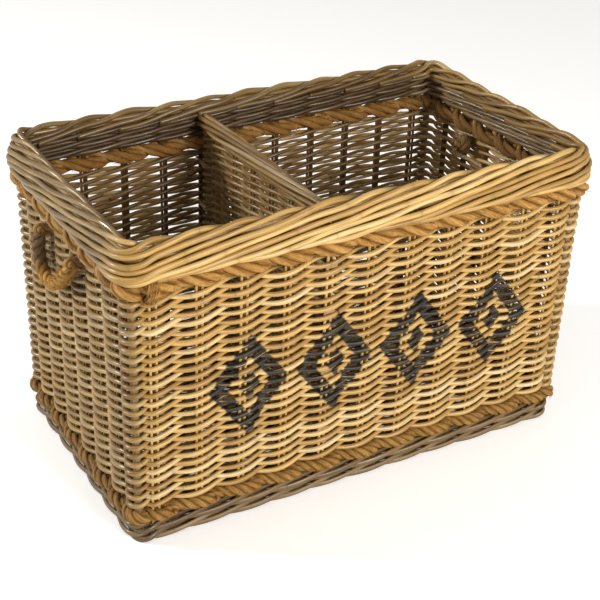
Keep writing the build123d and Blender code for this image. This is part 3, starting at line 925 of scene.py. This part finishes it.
def divider_edge():
    """The bound top of the divider: strands that lie along its rod and wind slowly round it."""
    piece = Piece("divider_edge")
    rng = np.random.default_rng(81)
    reach = STAKE_Y + LEAN * TOP_ROD_Z - 9.5
    y = np.linspace(-reach, reach, 90)
    sag = -1.5 * (1 - (y / reach) ** 2)
    # Painted shade over the whole edge, darkest on the side of each strand that faces the rod.
    groove = 0.62 + 0.38 * fade(np.cos(circle(10)), 0.75, -0.8)
    for strand in range(EDGE_STRANDS):
        start = math.radians(360 / EDGE_STRANDS * strand)
        angle = start + EDGE_TURN * (y / reach) + 0.13 * np.sin(y / 40 + strand)
        out = 8.7 + 0.7 * np.sin(y / 47 + 2 * strand)
        height = TOP_ROD_Z + out * np.sin(angle) + sag
        points = np.stack([DIVIDER_X + 1.1 * out * np.cos(angle), y, height], -1)
        side = np.stack([np.cos(angle), 0 * y, np.sin(angle)], -1)
        radius = EDGE_RADIUS + rng.normal(0, 0.25) + 0.15 * np.sin(y / 33 + rng.uniform(0, 6))
        piece.tubes(points, radius, side, own_number(rng), wear=0.15, inner=groove[None, None])
    piece.build("basket", "border", weave_skin, ["divider_border"])


# ---- floor --------------------------------------------------------------------------------
MAT_ROWS = 47
MAT_PITCH = 58.0            # between the crossings of a row over the floor's sticks
MAT_WAVE = 5.7
MAT_RADIUS = 2.85


def floor_mat():
    piece = Piece("floor_mat")
    rng = np.random.default_rng(91)
    low, high = cad_box("base_weave")
    x = np.linspace(low[0] + 1, high[0] - 1, 150)
    for row in range(MAT_ROWS):
        y = low[1] + (high[1] - low[1]) * (row + 0.5) / MAT_ROWS
        wave = np.cos(math.pi * (x / MAT_PITCH + row))
        points = np.stack([x, y + 0.35 * np.sin(x / 41 + row), FLOOR_Z + MAT_WAVE * wave], -1)
        radius = MAT_RADIUS + rng.normal(0, 0.1) + 0.1 * np.sin(x / 37 + rng.uniform(0, 6))
        # Painted shade over the floor mat inside the basket.
        piece.tubes(points, radius, Z_AXIS, own_number(rng), wear=0.15, inner=0.35, ring=8)
    piece.build("basket", "base_weave", inside_skin, ["base_weave"])


# ---- handles ------------------------------------------------------------------------------
HINGE_Z = next(j for j in frame["joints"] if j["name"] == "handle_left_swing")["pos_m"][2] / MM
# The loop's middle line from its front end to its back end, as (y, height over the hinge).
SAG = (
    (-48.0, 0.0), (-47.0, -6.0), (-36.0, -18.0), (-8.0, -43.0), (22.0, -59.0), (45.0, -60.0),
    (61.0, -44.0), (63.0, -20.0), (59.0, -5.0), (58.0, 0.0),
)
ENDS = (SAG[0][0], SAG[-1][0])
HANDLE_RADIUS = 8.5
HANDLE_LAY = 46.0           # length in which a ply goes once round the rope
TAIL_RADIUS = 7.8
TAIL_LAY = 44.0
TAIL_END = 37.0             # from the stake line to the tail's end inside
KNOT_START, KNOT_LENGTH = 14.5, 13.0
KNOT_REACH = 8.6            # from the tail's middle line to the cord that is coiled round it
KNOT_RADIUS = 5.6
KNOT_TURNS = 2.1
KNOT_LAY = 30.0


def handle_ropes():
    rng = np.random.default_rng(101)
    sag = np.array(SAG)
    reach = np.concatenate([[0], np.cumsum(np.linalg.norm(np.diff(sag, axis=0), axis=1))])
    y, drop = through(np.column_stack([reach, sag]), np.linspace(0, reach[-1], 130))
    grey = fade(y, 25, 30) * fade(drop, -62, 18) * 0.9
    for sign, name in ((-1, "left"), (1, "right")):
        hinge_x = abs(middle("handle_" + name)[0])
        points = np.stack([np.full(len(y), sign * hinge_x), y, HINGE_Z + drop], -1)
        piece, fibres = Piece(f"handle_{name}_rope"), Piece(f"handle_{name}_fibres")
        rope = laid(piece, points, X_AXIS, HANDLE_RADIUS, CORD_PLIES, HANDLE_LAY, rng, grey[None], ring=14)
        fuzz(fibres, rope, 900, rng, (5.0, 16.0), 0.45)
        for end in ENDS:
            dome(piece, np.array([sign * hinge_x, end, HINGE_Z]), HANDLE_RADIUS, rng)
        piece.build(f"handle_{name}", "handle_rope", handle_skin, [f"handle_{name}"])
        fibres.build(f"handle_{name}", "handle_rope", handle_skin, [])
        tails(sign, name, hinge_x, rng)


def dome(piece, centre, size, rng):
    """Rounded turn of the rope at the hinge line: a coil that closes into a ball."""
    t = np.linspace(0, 1, 90)
    polar = math.pi * (0.04 + 0.92 * t)
    turn = 2 * math.pi * 2.5 * t
    ball = np.stack([np.sin(polar) * np.cos(turn), np.cos(polar), np.sin(polar) * np.sin(turn)], -1)
    points = centre + 0.58 * size * ball
    piece.tubes(points, size * 0.42, carried(points), rng.random(), ring=12, wear=0.35)


def tails(sign, name, hinge_x, rng):
    """The rope's tails through the end wall, each wound into a stopper knot inside."""
    piece, fibres = Piece(f"handle_{name}_tails"), Piece(f"handle_{name}_tail_fibres")
    wall_x = STAKE_X + LEAN * HINGE_Z
    x = np.linspace(hinge_x - 2, wall_x - TAIL_END, 46)
    t = np.linspace(0, 1, 110)
    turn = 2 * math.pi * KNOT_TURNS * t
    coil_x = wall_x - KNOT_START - KNOT_LENGTH * t
    # Painted shade on the tails and knots inside the basket.
    for end in ENDS:
        points = np.stack([sign * x, end + 0 * x, HINGE_Z + 0 * x], -1)
        rope = laid(piece, points, Z_AXIS, TAIL_RADIUS, CORD_PLIES, TAIL_LAY, rng, 0.7, 0.3, ring=12)
        fuzz(fibres, rope, 140, rng)
        coil_y, coil_z = end + KNOT_REACH * np.cos(turn), HINGE_Z + KNOT_REACH * np.sin(turn)
        points = np.stack([sign * coil_x, coil_y, coil_z], -1)
        rope = laid(piece, points, carried(points), KNOT_RADIUS, CORD_PLIES, KNOT_LAY, rng, 0.7, 0.3)
        fuzz(fibres, rope, 200, rng)
    piece.build("basket", "handle_rope", handle_skin, [f"handle_knots_{name}"])
    fibres.build("basket", "handle_rope", handle_skin, [])


wall_rows()
foot_rows()
rim_rows()
stake_sticks()
border_strands()
rope_cords("top_rope", TOP_ROPE_Z, reach=9.4, lift=2.4, radius=9.6, lay=90.0, skin=rope_skin,
           seed=61, hairs=2600, greying=0.35)
rope_cords("bottom_rope", BOTTOM_ROPE_Z, reach=8.0, lift=1.9, radius=8.4, lay=42.0, skin=low_rope_skin,
           seed=62, hairs=2400, greying=0.5)
rope_binding()
divider_rows()
divider_edge()
floor_mat()
handle_ropes()

# ---- CAD rods that stay, each with its grain along its own length ---------------------------
ALONG_X = stick("stick_along_x", (12.0, 420.0, 420.0))
ALONG_Y = stick("stick_along_y", (420.0, 12.0, 420.0))
ALONG_Z = stick("stick_along_z", (420.0, 420.0, 12.0))
PEEL = stick("peel", (260.0, 260.0, 260.0), (0.20, 0.12, 0.05), (0.50, 0.36, 0.18))
KEPT = (
    (ALONG_X, ("base_rail_front", "base_rail_back")),
    (ALONG_Y, ("base_rail_left", "base_rail_right", "base_cross_sticks", "divider_top_rod")),
    (ALONG_Z, ("corner_post_front_left", "corner_post_front_right", "corner_post_back_left",
               "corner_post_back_right", "divider_end_posts")),
    (PEEL, ("frame_pins", "rim_core_rod", "divider_lashings")),
)
for material, nodes in KEPT:
    for node in nodes:
        data = frame["nodes"][node].data
        data.materials.clear()
        data.materials.append(material)

# ---- floor, light and camera, in metres ----------------------------------------------------
AMBIENT = 0.42              # light from all round; the camera itself sees white
FLOOR_GLOW = 0.34           # seen by the camera alone, so that the floor stays pale
LOOK_YAW, LOOK_DOWN, LOOK_ROLL = (math.radians(a) for a in (30.556, 29.230, -2.166))
EYE = (-0.8633, -1.4714, 1.1381)
LENS = 83.16

studio_floor = Shader("studio_floor")
floor_seen = studio_floor.node("ShaderNodeLightPath", {}, "Is Camera Ray")
for socket, value in (
    ("Base Color", (0.88, 0.90, 0.93, 1)),
    ("Roughness", 0.9),
    ("Specular IOR Level", 0.1),
    ("Emission Color", (1.0, 1.0, 1.0, 1)),
    ("Emission Strength", studio_floor.times(floor_seen, FLOOR_GLOW)),
):
    studio_floor.put(studio_floor.surface.inputs[socket], value)
bpy.ops.mesh.primitive_plane_add(size=16, location=(0, 0, 0))
floor = bpy.context.object
floor.name = "studio_floor"
floor.data.materials.append(studio_floor.material)

world = bpy.data.worlds.new("studio")
bpy.context.scene.world = world
world.use_nodes = True
background = world.node_tree.nodes["Background"]
background.inputs["Color"].default_value = (1.0, 0.965, 0.91, 1)
seen = world.node_tree.nodes.new("ShaderNodeLightPath").outputs["Is Camera Ray"]
level = world.node_tree.nodes.new("ShaderNodeMapRange")
level.inputs["To Min"].default_value = AMBIENT
level.inputs["To Max"].default_value = 1.0
world.node_tree.links.new(seen, level.inputs["Value"])
world.node_tree.links.new(level.outputs["Result"], background.inputs["Strength"])


def place(name, data, x, y, z, where):
    """Put a lamp or the camera into the scene, with its three axes turned as given."""
    obj = bpy.data.objects.new(name, data)
    bpy.context.scene.collection.objects.link(obj)
    obj.matrix_world = Matrix([[x[i], y[i], z[i], where[i]] for i in range(3)] + [[0, 0, 0, 1]])
    return obj


def softbox(name, location, target, size, power, colour):
    light = bpy.data.lights.new(name, "AREA")
    light.shape = "SQUARE"
    light.size = size
    light.energy = power
    light.color = colour
    z = unit(np.array(location, float) - np.array(target, float))
    x = unit(np.cross(Z_AXIS, z))
    place(name, light, x, np.cross(z, x), z, location)


softbox("key", (0.6, -3.0, 1.55), (0, 0, 0.2), 1.1, 92, (1.0, 0.945, 0.85))
softbox("edge", (-2.3, 1.3, 1.5), (-0.3, 0, 0.35), 0.4, 62, (1.0, 0.96, 0.88))

level_ahead = np.array([math.sin(LOOK_YAW), math.cos(LOOK_YAW), 0.0])
ahead = math.cos(LOOK_DOWN) * level_ahead - math.sin(LOOK_DOWN) * np.array(Z_AXIS)
level_right = np.array([math.cos(LOOK_YAW), -math.sin(LOOK_YAW), 0.0])
below = np.cross(ahead, level_right)
right = level_right * math.cos(LOOK_ROLL) + below * math.sin(LOOK_ROLL)
down = -level_right * math.sin(LOOK_ROLL) + below * math.cos(LOOK_ROLL)
camera_data = bpy.data.cameras.new("camera")
camera_data.lens = LENS
camera_data.sensor_width = 36.0
bpy.context.scene.camera = place("camera", camera_data, right, -down, -ahead, EYE)
bpy.context.scene.view_settings.view_transform = "Standard"
